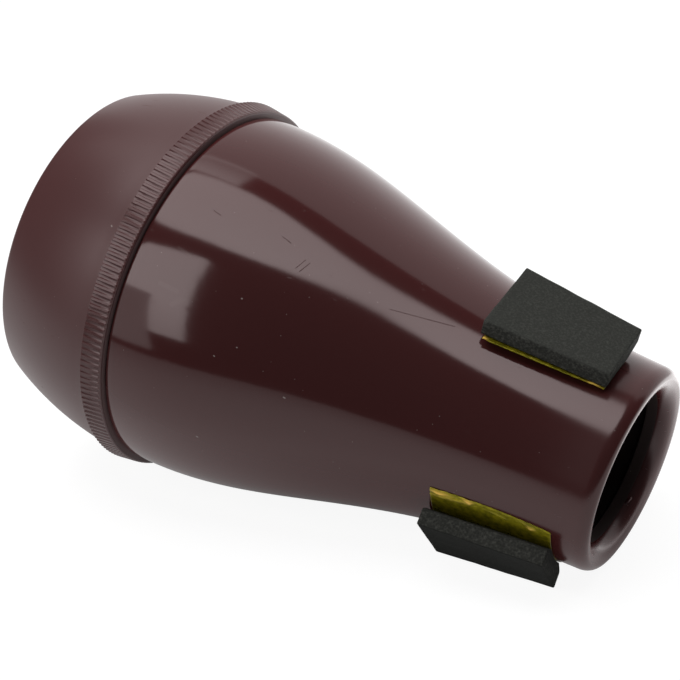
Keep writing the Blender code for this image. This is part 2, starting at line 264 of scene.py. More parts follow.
def cloth_glow(lamp, fade, corners, soft, slant):
    """Brightness over a softbox's cloth: even or fading from edge to edge, with soft round corners.

    A slant lets the upper (1) or lower (-1) edge lean in towards the left: from where, how steeply and
    how far.
    """
    lamp.use_nodes = True
    tree = lamp.node_tree
    place = add_node(tree, "ShaderNodeNewGeometry")
    split = add_node(tree, "ShaderNodeSeparateXYZ")
    wire(tree, place.outputs["Parametric"], split.inputs[0])
    across = add_node(tree, "ShaderNodeMapRange")
    across.inputs["To Min"].default_value, across.inputs["To Max"].default_value = fade[0:2]
    wire(tree, split.outputs["X"], across.inputs["Value"])
    along = add_node(tree, "ShaderNodeMapRange")
    along.inputs["To Min"].default_value, along.inputs["To Max"].default_value = fade[2:4]
    wire(tree, split.outputs["Y"], along.inputs["Value"])
    both = add_node(tree, "ShaderNodeMath", operation="MULTIPLY")
    wire(tree, across.outputs[0], both.inputs[0])
    wire(tree, along.outputs[0], both.inputs[1])
    centred = add_node(tree, "ShaderNodeVectorMath", operation="MULTIPLY_ADD")
    centred.inputs[1].default_value = (2, 2, 0)
    centred.inputs[2].default_value = (-1, -1, 0)
    wire(tree, place.outputs["Parametric"], centred.inputs[0])
    square = add_node(tree, "ShaderNodeVectorMath", operation="POWER")
    square.inputs[1].default_value = (*corners, 1)
    folded = add_node(tree, "ShaderNodeVectorMath", operation="ABSOLUTE")
    wire(tree, centred.outputs[0], folded.inputs[0])
    plain = add_node(tree, "ShaderNodeSeparateXYZ")
    wire(tree, centred.outputs[0], plain.inputs[0])
    bare = add_node(tree, "ShaderNodeSeparateXYZ")
    wire(tree, folded.outputs[0], bare.inputs[0])
    side, begin, steep, most = slant
    lean = join(tree, "MULTIPLY", join(tree, "SUBTRACT", begin, plain.outputs["X"]), steep)
    lean = join(tree, "MINIMUM", join(tree, "MAXIMUM", lean, 0.0), most)
    leaning = join(tree, "ADD", join(tree, "MULTIPLY", plain.outputs["Y"], side), lean)
    upper = join(tree, "MAXIMUM", bare.outputs["Y"], leaning)
    shape = add_node(tree, "ShaderNodeCombineXYZ")
    wire(tree, bare.outputs["X"], shape.inputs["X"])
    wire(tree, upper, shape.inputs["Y"])
    wire(tree, shape.outputs[0], square.inputs[0])
    total = add_node(tree, "ShaderNodeVectorMath", operation="DOT_PRODUCT")
    total.inputs[1].default_value = (1, 1, 0)
    wire(tree, square.outputs[0], total.inputs[0])
    edge = add_node(tree, "ShaderNodeMapRange", interpolation_type="SMOOTHSTEP")
    edge.inputs["From Min"].default_value = 1.04 - soft
    edge.inputs["From Max"].default_value = 1.04
    edge.inputs["To Min"].default_value = 1.0
    edge.inputs["To Max"].default_value = 0.0
    wire(tree, total.outputs["Value"], edge.inputs["Value"])
    cloth = add_node(tree, "ShaderNodeMath", operation="MULTIPLY")
    wire(tree, both.outputs[0], cloth.inputs[0])
    wire(tree, edge.outputs[0], cloth.inputs[1])
    wire(tree, cloth.outputs[0], tree.nodes["Emission"].inputs["Strength"])


SQUARE = (1, 0, 0, 0)


def add_softbox(name, place, size, bright, turn, fade=(1, 1, 1, 1), corners=(12, 12), soft=0.32, slant=SQUARE):
    lamp = bpy.data.lights.new(name, "AREA")
    lamp.shape = "RECTANGLE"
    lamp.size, lamp.size_y = size
    lamp.energy = bright * math.pi * size[0] * size[1]
    cloth_glow(lamp, fade, corners, soft, slant)
    softbox = bpy.data.objects.new(name, lamp)
    softbox.matrix_world = Matrix.Translation(place) @ turn.to_4x4()
    softbox.visible_camera = False
    scene.collection.objects.link(softbox)
    return softbox


def side_panel(name, left, right, low, high, bright, fade=(1, 1, 1, 1), behind=0.0, slant=SQUARE):
    """A panel in the plane of the side softbox, by its edges in metres from the plane's middle."""
    away = Vector((math.cos(SIDE_AZIMUTH), math.sin(SIDE_AZIMUTH), 0)) * math.cos(SIDE_HEIGHT)
    away.z = math.sin(SIDE_HEIGHT)
    aside = Vector((math.sin(SIDE_AZIMUTH), -math.cos(SIDE_AZIMUTH), 0))
    upward = aside.cross(away)
    middle = OBJECT_MIDDLE + away * (SIDE_AWAY + behind)
    middle += aside * (left + right) / 2 + upward * (low + high) / 2
    turn = Matrix((-aside, upward, away)).transposed()
    return add_softbox(name, middle, (right - left, high - low), bright, turn, fade, (20, 20), 0.15, slant)


level = Matrix.Identity(3)
add_softbox("softbox_top", (-0.08, -0.117, 0.745), (0.76, 0.515), 3.75, level, (0.92, 1.0, 1.05, 0.85), (2.5, 3))
add_softbox("fill_back_left", (-0.44, 0.221, 0.745), (0.73, 0.206), 1.0, level, (1, 1, 2.6, 0.7), (20, 30), 0.5)
overhead = add_softbox("overhead_fill", (-0.10, 0.05, 0.95), (1.4, 1.0), 0.8, level)
overhead.visible_glossy = False
side_panel("softbox_side", -0.13, 0.30, -0.08, 0.32, 3.4, slant=(1, 1, 0.41, 0.7))
low_panel = side_panel("softbox_side_low", -0.13, 0.02, -0.34, -0.08, 2.8, (1, 1, 0.9, 1.2), 0.01)
low_card = side_panel("card_left", 0.02, 0.40, -0.5, -0.08, 1.0)
low_panel.visible_diffuse = False
low_card.visible_diffuse = False


# %% [markdown]
# Both plastics are one dark maroon. The shell came out of a polished mould, so it is glossy, and
# handling has left dust and hair-thin scratches on it. The cap's mould was matt. The marks of use are
# the same on both, so they are a node group, built once and placed in each plastic with its own scale.

# %% A node group for dust, scratches and uneven tone
def make_wear_group():
    group = bpy.data.node_groups.new("marks_of_use", "ShaderNodeTree")
    group.interface.new_socket("Scale", in_out="INPUT", socket_type="NodeSocketFloat")
    for output in ("Dust", "Scratch", "Cloud"):
        group.interface.new_socket(output, in_out="OUTPUT", socket_type="NodeSocketFloat")
    entry = group.nodes.new("NodeGroupInput")
    leave = group.nodes.new("NodeGroupOutput")
    place = add_node(group, "ShaderNodeTexCoord")
    scaled = add_node(group, "ShaderNodeVectorMath", operation="SCALE")
    wire(group, place.outputs["Object"], scaled.inputs[0])
    wire(group, entry.outputs["Scale"], scaled.inputs["Scale"])
    specks = add_node(group, "ShaderNodeTexVoronoi", Scale=300.0)
    wire(group, scaled.outputs[0], specks.inputs["Vector"])
    cut = add_node(group, "ShaderNodeMath", operation="LESS_THAN")
    cut.inputs[1].default_value = 0.035
    wire(group, specks.outputs["Distance"], cut.inputs[0])
    wire(group, cut.outputs[0], leave.inputs["Dust"])
    stretch = add_node(group, "ShaderNodeMapping")
    stretch.inputs["Rotation"].default_value = (0.3, 0.5, 0.8)
    stretch.inputs["Scale"].default_value = (36, 260, 260)
    wire(group, scaled.outputs[0], stretch.inputs["Vector"])
    lines = add_node(group, "ShaderNodeTexNoise", Scale=4.0, Detail=2.0)
    wire(group, stretch.outputs[0], lines.inputs["Vector"])
    narrow = add_node(group, "ShaderNodeMapRange")
    narrow.inputs["From Min"].default_value = 0.70
    narrow.inputs["From Max"].default_value = 0.78
    wire(group, lines.outputs[0], narrow.inputs["Value"])
    wire(group, narrow.outputs[0], leave.inputs["Scratch"])
    cloud = add_node(group, "ShaderNodeTexNoise", Scale=18.0, Detail=4.0)
    wire(group, scaled.outputs[0], cloud.inputs["Vector"])
    wire(group, cloud.outputs[0], leave.inputs["Cloud"])
    return group


WEAR = make_wear_group()
print("wear group nodes:", len(WEAR.nodes))


# %% [markdown]
# A few marks are single ones that can be seen from across a room: scratches where the shell was put
# down on something hard, two scuffs by the shoulder and a few specks of dust. Each is a short line with
# round ends. Its mask is the distance to that line, which is a node group with the line as its inputs.
# The marks are placed in the axis frame: degrees round it, millimetres along it and out from it.

# %% A node group for one mark
def make_mark_group():
    group = bpy.data.node_groups.new("one_mark", "ShaderNodeTree")
    for name, kind in (("Start", "Vector"), ("Along", "Vector"), ("Inverse", "Float"), ("Width", "Float")):
        group.interface.new_socket(name, in_out="INPUT", socket_type=f"NodeSocket{kind}")
    group.interface.new_socket("Mask", in_out="OUTPUT", socket_type="NodeSocketFloat")
    entry = group.nodes.new("NodeGroupInput")
    leave = group.nodes.new("NodeGroupOutput")
    place = add_node(group, "ShaderNodeTexCoord")
    away = add_node(group, "ShaderNodeVectorMath", operation="SUBTRACT")
    wire(group, place.outputs["Object"], away.inputs[0])
    wire(group, entry.outputs["Start"], away.inputs[1])
    run = add_node(group, "ShaderNodeVectorMath", operation="DOT_PRODUCT")
    wire(group, away.outputs[0], run.inputs[0])
    wire(group, entry.outputs["Along"], run.inputs[1])
    share = add_node(group, "ShaderNodeMath", operation="MULTIPLY", use_clamp=True)
    wire(group, run.outputs["Value"], share.inputs[0])
    wire(group, entry.outputs["Inverse"], share.inputs[1])
    foot = add_node(group, "ShaderNodeVectorMath", operation="SCALE")
    wire(group, entry.outputs["Along"], foot.inputs[0])
    wire(group, share.outputs[0], foot.inputs["Scale"])
    gap = add_node(group, "ShaderNodeVectorMath", operation="DISTANCE")
    wire(group, away.outputs[0], gap.inputs[0])
    wire(group, foot.outputs[0], gap.inputs[1])
    near = join(group, "DIVIDE", gap.outputs["Value"], entry.outputs["Width"])
    wire(group, ramp(group, near, (0.3, 1.0), (1.0, 0.0)), leave.inputs["Mask"])
    return group


ONE_MARK = make_mark_group()
SCRATCHES = (
    ((-149.9, 12.4, 44.4), (-149.5, 14.4, 44.2), 0.11),
    ((-152.6, 29.0, 41.3), (-152.1, 31.3, 40.7), 0.11),
    ((-145.3, 35.2, 39.7), (-149.4, 36.1, 39.4), 0.10),
    ((-145.0, 36.3, 39.4), (-149.2, 37.3, 39.1), 0.10),
    ((-148.6, 57.2, 33.4), (-155.7, 71.0, 29.9), 0.09),
)
SCUFFS = (
    ((-119.5, 13.4, 44.3), (-123.2, 16.2, 43.9), 0.9),
    ((-123.9, 9.0, 44.7), (-123.6, 13.5, 44.3), 0.8),
    ((-135.5, 9.5, 44.6), (-134.6, 13.0, 44.4), 0.5),
)
SPECKS = (
    ((-129.2, 27.7, 41.6), (-129.2, 27.8, 41.6), 0.24),
    ((-114.5, 30.5, 41.0), (-114.5, 30.6, 41.0), 0.22),
    ((-109.5, 26.1, 42.0), (-109.4, 26.3, 42.0), 0.20),
    ((-103.3, 43.2, 37.4), (-103.2, 43.5, 37.3), 0.24),
    ((-78.3, 24.2, 42.4), (-78.2, 24.5, 42.4), 0.22),
)
CAP_SPECKS = (((-133.4, -7.9, 45.8), (-133.2, -7.7, 45.8), 0.24),)


def mark_point(spot):
    """A mark's point in the world, from its degrees, its millimetres along and its millimetres out."""
    angle = math.radians(spot[0])
    return AXIS @ (Vector((spot[2] * math.cos(angle), spot[2] * math.sin(angle), spot[1])) * MM)


def add_marks(tree, marks):
    """One mask for a list of marks, 0 where there are none."""
    mask = 0.0
    for start, end, width in marks:
        mark = add_node(tree, "ShaderNodeGroup", node_tree=ONE_MARK)
        along = mark_point(end) - mark_point(start)
        mark.inputs["Start"].default_value = mark_point(start)
        mark.inputs["Along"].default_value = along
        mark.inputs["Inverse"].default_value = 1 / along.length_squared
        mark.inputs["Width"].default_value = width * MM
        mask = join(tree, "MAXIMUM", mask, mark.outputs["Mask"])
    return mask


print("single marks:", len(SCRATCHES) + len(SCUFFS) + len(SPECKS) + len(CAP_SPECKS))


# %% The plastics
# Each plastic's second colour is a painted sheen: a brighter maroon where the surface is seen at a grazing angle.
MAROON = (0.0335, 0.0095, 0.0095)
SHEEN_MAROON = (0.072, 0.012, 0.012)
CAP_MAROON = (0.050, 0.0165, 0.0165)
CAP_SHEEN_MAROON = (0.075, 0.028, 0.028)
INSIDE_MAROON = (0.030, 0.021, 0.020)
PALE_FACE_MAROON = (0.13, 0.085, 0.085)
DUST_COLOR = (0.20, 0.17, 0.16, 1)
LIP_HANDLED = (88, 112)


def plastic(name, color, sheen_color, roughness, lip_roughness, grain_scale, grain_depth, marks=((), (), ())):
    material, tree, shader = new_material(name)
    shader.inputs["Specular Tint"].default_value = (1.0, 0.86, 0.86, 1)
    wear = add_node(tree, "ShaderNodeGroup", node_tree=WEAR)
    wear.inputs["Scale"].default_value = 1.0
    tone = add_node(tree, "ShaderNodeMix", data_type="RGBA")
    # Painted sheen: towards grazing angles the base colour turns to the second, brighter maroon.
    turned = add_node(tree, "ShaderNodeLayerWeight", Blend=0.5)
    grazing_sheen = add_node(tree, "ShaderNodeMix", data_type="RGBA")
    grazing_sheen.inputs[6].default_value = (*color, 1)
    grazing_sheen.inputs[7].default_value = (*sheen_color, 1)
    wire(tree, turned.outputs["Facing"], grazing_sheen.inputs[0])
    wire(tree, grazing_sheen.outputs[2], tone.inputs[6])
    tone.inputs[7].default_value = DUST_COLOR
    scratches, scuffs, specks = (add_marks(tree, kind) for kind in marks)
    haze = join(tree, "MULTIPLY", scuffs, join(tree, "MULTIPLY", wear.outputs["Cloud"], 0.14))
    dust = join(tree, "MAXIMUM", join(tree, "MULTIPLY", wear.outputs["Dust"], 0.5), specks)
    wire(tree, join(tree, "MAXIMUM", dust, haze), tone.inputs[0])
    wire(tree, tone.outputs[2], shader.inputs["Base Color"])
    rough = add_node(tree, "ShaderNodeMapRange")
    rough.inputs["To Min"].default_value = roughness * 0.9
    rough.inputs["To Max"].default_value = roughness * 1.15
    wire(tree, wear.outputs["Cloud"], rough.inputs["Value"])
    add = add_node(tree, "ShaderNodeMath", operation="MULTIPLY_ADD")
    add.inputs[1].default_value = 0.15
    wire(tree, wear.outputs["Scratch"], add.inputs[0])
    wire(tree, rough.outputs[0], add.inputs[2])
    place = add_node(tree, "ShaderNodeTexCoord")
    height = add_node(tree, "ShaderNodeVectorMath", operation="DOT_PRODUCT")
    height.inputs[1].default_value = TO_MOUTH
    wire(tree, place.outputs["Object"], height.inputs[0])
    near_lip = add_node(tree, "ShaderNodeMapRange", interpolation_type="SMOOTHSTEP")
    near_lip.inputs["From Min"].default_value = TO_MOUTH.dot(AXIS @ Vector((0, 0, LIP_HANDLED[0] * MM)))
    near_lip.inputs["From Max"].default_value = TO_MOUTH.dot(AXIS @ Vector((0, 0, LIP_HANDLED[1] * MM)))
    near_lip.inputs["To Max"].default_value = lip_roughness
    wire(tree, height.outputs["Value"], near_lip.inputs["Value"])
    worn = join(tree, "ADD", join(tree, "MULTIPLY", scratches, 0.5), join(tree, "MULTIPLY", scuffs, 0.02))
    total = join(tree, "ADD", join(tree, "ADD", add.outputs[0], near_lip.outputs[0]), worn)
    wire(tree, total, shader.inputs["Roughness"])
    grain = add_node(tree, "ShaderNodeTexNoise", Scale=grain_scale, Detail=3.0)
    wire(tree, place.outputs["Object"], grain.inputs["Vector"])
    bump = add_node(tree, "ShaderNodeBump")
    bump.inputs["Strength"].default_value = 0.25
    bump.inputs["Distance"].default_value = grain_depth
    wire(tree, join(tree, "SUBTRACT", grain.outputs[0], scratches), bump.inputs["Height"])
    wire(tree, bump.outputs[0], shader.inputs["Normal"])
    return material


SHELL_MARKS = (SCRATCHES, SCUFFS, SPECKS)
CAP_MARKS = ((), (), CAP_SPECKS)
GLOSS = plastic("glossy_maroon_plastic", MAROON, SHEEN_MAROON, 0.10, 0.09, 60.0, 0.00015, SHELL_MARKS)
SATIN = plastic("satin_maroon_plastic", CAP_MAROON, CAP_SHEEN_MAROON, 0.38, 0.0, 900.0, 0.00002, CAP_MARKS)
RIM_PLASTIC = plastic("rim_maroon_plastic", CAP_MAROON, CAP_SHEEN_MAROON, 0.24, 0.0, 900.0, 0.00002)
LIP_INSIDE = plastic("lip_inside_plastic", MAROON, SHEEN_MAROON, 0.25, 0.0, 300.0, 0.00003)
INSIDE = plastic("inside_maroon_plastic", INSIDE_MAROON, INSIDE_MAROON, 0.55, 0.0, 300.0, 0.00004)
INSIDE.node_tree.nodes["Principled BSDF"].inputs["Specular IOR Level"].default_value = 0.2
# A paler maroon for the cap's faces that look to the mouth, by the seal.
PALE_FACE = plastic("pale_face_maroon_plastic", PALE_FACE_MAROON, PALE_FACE_MAROON, 0.45, 0.0, 900.0, 0.00002)
print("plastics:", GLOSS.name, SATIN.name, RIM_PLASTIC.name, INSIDE.name)


# %% [markdown]
# A turned piece starts as its outline, a chain of edges in the XZ plane, and the spin operator sweeps
# it round Z. The outline is made of arcs and one smooth curve, as the mould's drawing would be. Every
# piece is then moved from the axis frame to its place in the world.

# %% Outlines, the spin and the last steps of a piece
def arc(centre, radius, start, end, steps):
    points = []
    for i in range(steps + 1):
        angle = math.radians(start + (end - start) * i / steps)
        points.append((centre[0] + radius * math.cos(angle), centre[1] + radius * math.sin(angle)))
    return points


def bezier(ends, share):
    left = 1 - share
    point = left**3 * ends[0] + 3 * left**2 * share * ends[1]
    point += 3 * left * share**2 * ends[2] + share**3 * ends[3]
    slope = left**2 * (ends[1] - ends[0]) + 2 * left * share * (ends[2] - ends[1])
    slope += share**2 * (ends[3] - ends[2])
    return point, slope.normalized()


def finish_piece(bm, name, body, node, material, sharp=35.0):
    """Puts a bmesh, drawn in the axis frame, into the scene as a piece that stands for a node."""
    bm.transform(AXIS)
    mesh = bpy.data.meshes.new(name)
    bm.to_mesh(mesh)
    bm.free()
    mesh.shade_smooth()
    mesh.set_sharp_from_angle(angle=math.radians(sharp))
    mesh.materials.append(material)
    piece = bpy.data.objects.new(name, mesh)
    scene.collection.objects.link(piece)
    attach(piece, body)
    if node:
        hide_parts(node)
    print(name, "faces:", len(mesh.polygons))
    return piece


def spin_outline(outline, steps, closed=True):
    bm = bmesh.new()
    verts = [bm.verts.new((radius * MM, 0, height * MM)) for radius, height in outline]
    pairs = list(zip(verts, verts[1:]))
    if closed:
        pairs.append((verts[-1], verts[0]))
    for pair in pairs:
        bm.edges.new(pair)
    bmesh.ops.spin(
        bm,
        geom=list(bm.verts) + list(bm.edges),
        cent=(0, 0, 0),
        axis=(0, 0, 1),
        angle=TAU,
        steps=steps,
        use_merge=True,
    )
    bmesh.ops.remove_doubles(bm, verts=bm.verts, dist=0.001 * MM)
    bmesh.ops.recalc_face_normals(bm, faces=bm.faces)
    return bm


# %% [markdown]
# The shell is one smooth curve from the shoulder to the neck. At the mouth it rolls in to a thick lip
# that is round on both sides, and behind the lip the bore opens to the thin wall.

# %% The shell
MOUTH_Z = 114.9
NECK_R = 24.8
NECK_FLARE = 2.0
NECK_REACH = 55.0
LIP_SIDE = 3.2
LIP_CREST_R = 22.7
LIP_SLOPE = 12
LIP_FACE = 0.8
LIP_ROLL = 4.2
LIP_CREASE = 20
LIP_LAND = 2.4
BORE_FRONT = 111.2
WALL = 2.5
SHOULDER_Z = 0.3
SHOULDER_R = 45.0
SHOULDER_RISE = 0.5
SHOULDER_REACH = 35.0
SHOULDER_EDGE = 0.35
SPIGOT_R = 42.2
SPIGOT_END = -7.0
BODY_CURVE = (
    Vector((NECK_R, MOUTH_Z - LIP_SIDE)),
    Vector((NECK_R + NECK_FLARE, MOUTH_Z - LIP_SIDE - NECK_REACH)),
    Vector((SHOULDER_R + SHOULDER_RISE, SHOULDER_Z + SHOULDER_REACH)),
    Vector((SHOULDER_R, SHOULDER_Z)),
)
CURVE_POINTS = 48
TURN_STEPS = 224


def shell_outline():
    outline = []
    for crest_x, up in arc((0, 0), 1, 90 + LIP_SLOPE, 0, 12):
        outline.append((LIP_CREST_R + (NECK_R - LIP_CREST_R) * crest_x, MOUTH_Z - LIP_SIDE * (1 - up)))
    outline += [tuple(bezier(BODY_CURVE, i / CURVE_POINTS)[0]) for i in range(1, CURVE_POINTS)]
    edge_middle = (SHOULDER_R - SHOULDER_EDGE, SHOULDER_Z + SHOULDER_EDGE)
    outline += arc(edge_middle, SHOULDER_EDGE, 0, -90, 6)
    outline += [(SPIGOT_R, SHOULDER_Z), (SPIGOT_R, SPIGOT_END + 0.4), (SPIGOT_R - 0.4, SPIGOT_END)]
    outline += [(SPIGOT_R - 2.4, SPIGOT_END), (SPIGOT_R - 2.4, SHOULDER_Z)]
    slope = math.radians(LIP_SLOPE)
    face_r = outline[0][0] - LIP_FACE * math.cos(slope)
    face_z = outline[0][1] - LIP_FACE * math.sin(slope)
    crease = math.radians(LIP_CREASE)
    roll = (face_r + LIP_ROLL * math.sin(crease), face_z - LIP_ROLL * math.cos(crease))
    bore = roll[0] - LIP_ROLL
    lip_back = roll[1] - LIP_LAND
    for i in range(CURVE_POINTS, -1, -1):
        point, slope = bezier(BODY_CURVE, i / CURVE_POINTS)
        wall = point + WALL * Vector((slope.y, -slope.x))
        if SHOULDER_Z + 7 < wall.y < lip_back - 2.4:
            outline.append(tuple(wall))
    outline += [(outline[-1][0], lip_back - 1.2), (bore + 0.3, lip_back), (bore, lip_back + 0.3)]
    outline += arc(roll, LIP_ROLL, 180, 90 + LIP_CREASE, 10)
    return outline


shell_points = shell_outline()
shell = spin_outline(shell_points, TURN_STEPS)
for face in shell.faces:
    middle = face.calc_center_median()
    faces_in = face.normal.x * middle.x + face.normal.y * middle.y < 0
    behind_lip = middle.z < BORE_FRONT * MM
    face.material_index = (1 if behind_lip else 2) if faces_in else 0
shell = finish_piece(shell, "shell", "body", "body_shell", GLOSS)
shell.data.materials.append(INSIDE)
shell.data.materials.append(LIP_INSIDE)
print("shell outline points:", len(shell_points))

# %% [markdown]
# Inside the lip is a small bead where the plastic from two sides of the mould met. It is a stretched
# ball, half sunk in the wall, with a slightly uneven skin.

# %% The mould mark
BEAD_ENDS = ((28.7, 18.81, 111.58), (35.4, 18.93, 112.03))
BEAD_WIDE = 0.42
BEAD_HIGH = 0.32
ends = [Vector((r * math.cos(math.radians(a)), r * math.sin(math.radians(a)), z)) for a, r, z in BEAD_ENDS]
bead_middle = (ends[0] + ends[1]) / 2
bead_long = (ends[1] - ends[0]).normalized()
bead_up = -Vector((bead_middle.x, bead_middle.y, 0)).normalized()
bead_up = (bead_up - bead_long * bead_up.dot(bead_long)).normalized()
bead_turn = Matrix((bead_long, bead_up.cross(bead_long), bead_up)).transposed()
bead = bmesh.new()
bmesh.ops.create_icosphere(bead, subdivisions=3, radius=1)
for vert in bead.verts:
    uneven = 1 + 0.15 * noise.noise(vert.co * 1.7)
    size = Vector(((ends[1] - ends[0]).length / 2, BEAD_WIDE, BEAD_HIGH)) * uneven
    vert.co = (bead_middle + bead_turn @ Vector(a * b for a, b in zip(vert.co, size))) * MM
finish_piece(bead, "mould_mark", "body", None, GLOSS)

# %% [markdown]
# The cap screws on with a coarse thread of 4 mm a turn. A thread is also a spin, but one that climbs:
# a small section is swept round the axis and moved along it at every step. One ridge stands on the
# shell's spigot and one inside the cap's socket, half a pitch apart, so they never touch.

# %% The screw threads
PITCH = 4.0
THREAD_STEPS = 96
THREAD_TURNS = 1.25
SOCKET_R = 43.2
THREAD_HEIGHT = 0.65
THREAD_FOOT = 0.75
THREAD_CREST = 0.3


def thread_ridge(foot_radius, crest_radius, start):
    bm = bmesh.new()
    section = [(foot_radius, -THREAD_FOOT), (crest_radius, -THREAD_CREST)]
    section += [(crest_radius, THREAD_CREST), (foot_radius, THREAD_FOOT)]
    corners = [bm.verts.new((radius * MM, 0, (start + height) * MM)) for radius, height in section]
    bm.faces.new(corners)
    steps = round(THREAD_STEPS * THREAD_TURNS)
    bmesh.ops.spin(
        bm,
        geom=list(bm.verts) + list(bm.edges) + list(bm.faces),
        cent=(0, 0, 0),
        axis=(0, 0, 1),
        dvec=(0, 0, PITCH * MM / THREAD_STEPS),
        angle=TAU * THREAD_TURNS,
        steps=steps,
    )
    bm.verts.ensure_lookup_table()
    for vert in list(bm.verts)[:4] + list(bm.verts)[-4:]:
        flat = Vector((vert.co.x, vert.co.y))
        if abs(flat.length - crest_radius * MM) < 0.01 * MM:
            flat *= foot_radius / crest_radius
            vert.co.x, vert.co.y = flat
    bmesh.ops.recalc_face_normals(bm, faces=bm.faces)
    return bm


spigot_thread = thread_ridge(SPIGOT_R - 0.05, SPIGOT_R + THREAD_HEIGHT, -5.9)
finish_piece(spigot_thread, "shell_thread", "body", None, GLOSS)
socket_thread = thread_ridge(SOCKET_R + 0.05, SOCKET_R - THREAD_HEIGHT, -7.1)
socket_thread.transform(Matrix.Rotation(math.radians(-180 + 360 * (5.9 - 7.1) / PITCH), 4, "Z"))
finish_piece(socket_thread, "cap_thread", "cap", None, SATIN)

# %% [markdown]
# The cap is a deep cup with a flat end. The middle of the end has a small gate mark, where the plastic
# entered the mould.

# %% The cap
CAP_R = 45.9
CAP_END_R = 38.8
CAP_DEPTH = 35.75
CAP_BULGE = 1.5
CAP_CORNER = 1.6
RIM_R = 46.5
RIM_DRAFT = 0.85
RIM_WIDTH = 5.4
RIM_EDGE = 0.5


def cap_side(offset):
    """The arc of the cap's side, moved in by an offset: its centre, radius and top angle."""
    top = Vector((CAP_R, -RIM_WIDTH))
    bottom = Vector((CAP_END_R, -CAP_DEPTH))
    chord = bottom - top
    radius = ((chord.length / 2) ** 2 + CAP_BULGE**2) / (2 * CAP_BULGE)
    inward = Vector((chord.y, -chord.x)).normalized()
    centre = (top + bottom) / 2 + inward * (radius - CAP_BULGE)
    return centre, radius - offset, math.degrees(math.atan2(top.y - centre.y, top.x - centre.x))


def cap_corner(offset, floor_z):
    centre, radius, _ = cap_side(offset)
    height = floor_z + CAP_CORNER
    angle = math.asin((height - centre.y) / (radius - CAP_CORNER))
    return (centre.x + (radius - CAP_CORNER) * math.cos(angle), height), math.degrees(angle)


def cap_outline():
    """The cap without its rim's outer face, which the rib cells make."""
    floor_z = WALL - CAP_DEPTH
    centre, radius, _ = cap_side(WALL)
    corner, angle = cap_corner(WALL, floor_z)
    socket = math.degrees(math.asin((-9.0 - centre.y) / radius))
    outline = [(0, floor_z)] + arc(corner, CAP_CORNER, -90, angle, 6)
    outline += arc(centre, radius, angle, socket, 16)[1:]
    outline += [(SOCKET_R, -8.0), (SOCKET_R, -1.2), (44.3, -1.2), (44.3, -0.15), (44.45, 0)]
    outline += [(RIM_R - RIM_EDGE, 0), (RIM_R - RIM_EDGE, -RIM_WIDTH - 0.2)]
    centre, radius, top_angle = cap_side(0)
    corner, angle = cap_corner(0, -CAP_DEPTH)
    outline += arc(centre, radius, top_angle, angle, 20)[1:]
    outline += arc(corner, CAP_CORNER, angle, -90, 8)[1:]
    outline += [(3.6, -CAP_DEPTH), (3.3, -CAP_DEPTH + 0.3), (1.4, -CAP_DEPTH + 0.3)]
    outline += [(1.25, -CAP_DEPTH + 0.05), (0.6, -CAP_DEPTH), (0, -CAP_DEPTH + 0.04)]
    return outline


cap_points = cap_outline()
cap = spin_outline(cap_points, TURN_STEPS, False)
for face in cap.faces:
    # Faces near the front that look to the mouth get the paler maroon.
    on_front = face.normal.z > 0.7 and face.calc_center_median().z > -1.5 * MM
    face.material_index = 1 if on_front else 0
cap = finish_piece(cap, "cap", "cap", "end_cap", SATIN)
cap.data.materials.append(PALE_FACE)
print("cap outline points:", len(cap_points))

# %% [markdown]
# The rim is cut with 184 fine flutes for the fingers. A flute is open at the back and ends in a round
# at the front, short of the rim's bevel. One rib cell is shaped from a small grid, and the spin
# operator copies it round the rim. The cell repeats many times, so it has only 48 faces, with its
# rows and columns packed where the flute's wall is steep.

# %% The ribbed rim
RIBS = 184
FLUTE_DEPTH = 0.32
FLUTE_FLOOR = 0.36
FLUTE_START = -0.22
FLUTE_RAMP = 0.35
RIB_COLUMNS = (-1, -0.66, -FLUTE_FLOOR, 0, FLUTE_FLOOR, 0.66, 1)
RIM_ROWS = (0, -0.1, -0.28, -0.5, -0.85, -5.2, -5.4)


def rim_radius(height):
    """Radius of the rim's outer face, with its front bevel and its back edge."""
    radius = RIM_R - RIM_DRAFT * height / RIM_WIDTH
    front = max(0.0, 1 + height / RIM_EDGE)
    back = max(0.0, 1 - (height + RIM_WIDTH) / 0.3)
    return radius - RIM_EDGE * (1 - math.sqrt(max(0.0, 1 - front**2))) - 0.3 * back**2


def flute_depth(across, height):
    """Depth of the flute under the rim's plain taper: a flat floor, closed by a round at the front."""
    if abs(across) > FLUTE_FLOOR:
        return 0.0
    start = FLUTE_START - 1.0 * across**2
    share = min(1.0, max(0.0, (start - height) / FLUTE_RAMP))
    lost = RIM_R - RIM_DRAFT * height / RIM_WIDTH - rim_radius(height)
    return (FLUTE_DEPTH - lost) * share


def rib_cell():
    last = len(RIM_ROWS) + 1
    columns = len(RIB_COLUMNS) - 1
    bm = bmesh.new()
    bmesh.ops.create_grid(bm, x_segments=columns, y_segments=last, size=1)
    for vert in bm.verts:
        across = RIB_COLUMNS[round((vert.co.x + 1) / 2 * columns)]
        row = round((vert.co.y + 1) / 2 * last)
        if row == 0:
            radius, height = RIM_R - RIM_EDGE - 0.2, -0.05
        elif row == last:
            radius, height = CAP_R - 0.4, -RIM_WIDTH - 0.1
        else:
            height = RIM_ROWS[row - 1]
            radius = rim_radius(height) - flute_depth(across, height)
        angle = across * TAU / RIBS / 2
        vert.co = (radius * math.cos(angle) * MM, radius * math.sin(angle) * MM, height * MM)
    return bm


